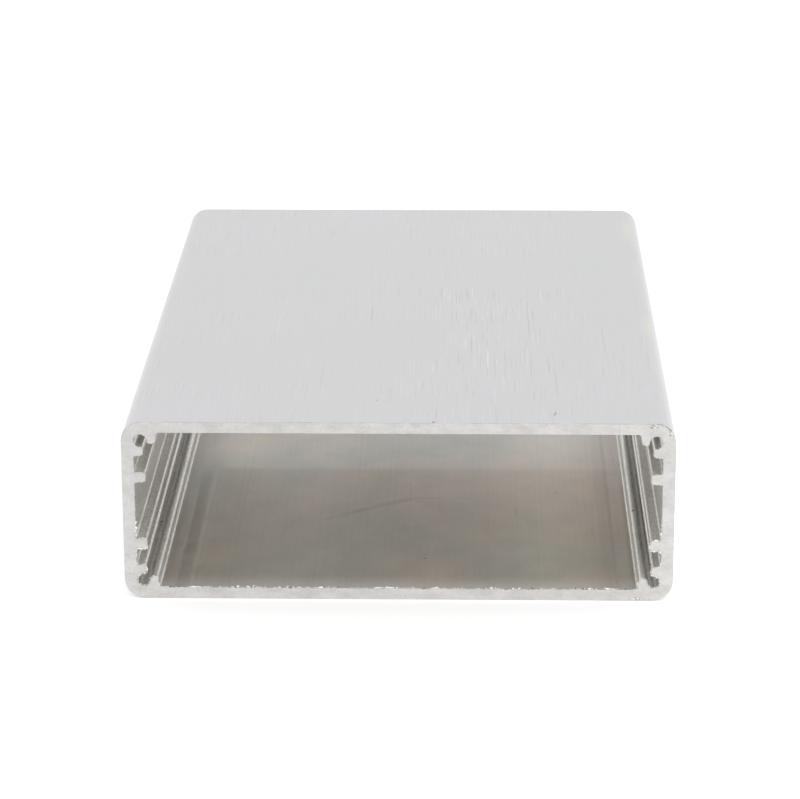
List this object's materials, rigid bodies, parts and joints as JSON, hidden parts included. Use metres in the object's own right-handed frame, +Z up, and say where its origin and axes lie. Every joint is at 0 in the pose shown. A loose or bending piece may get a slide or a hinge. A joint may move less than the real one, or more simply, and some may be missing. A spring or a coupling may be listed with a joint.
{
  "type": "extruded aluminium enclosure",
  "caption": "Open-ended rectangular aluminium extrusion for a circuit enclosure, with rounded edges, corner screw ports, board slots and guide ribs along the inside.",
  "frame": {"origin": "middle of the tube's length and width, on the plane of its bottom face", "axes": "+Y along the extrusion, towards the rear sawn end; +X across the width; +Z up, through the top face"},
  "size_m": [0.1, 0.15, 0.034],
  "materials": {
    "aluminium": "fine lengthwise brushing outside, mill finish inside, saw-cut ends"
  },
  "bodies": {
    "root": {"extruded_body": "aluminium"}
  },
  "joints": []
}
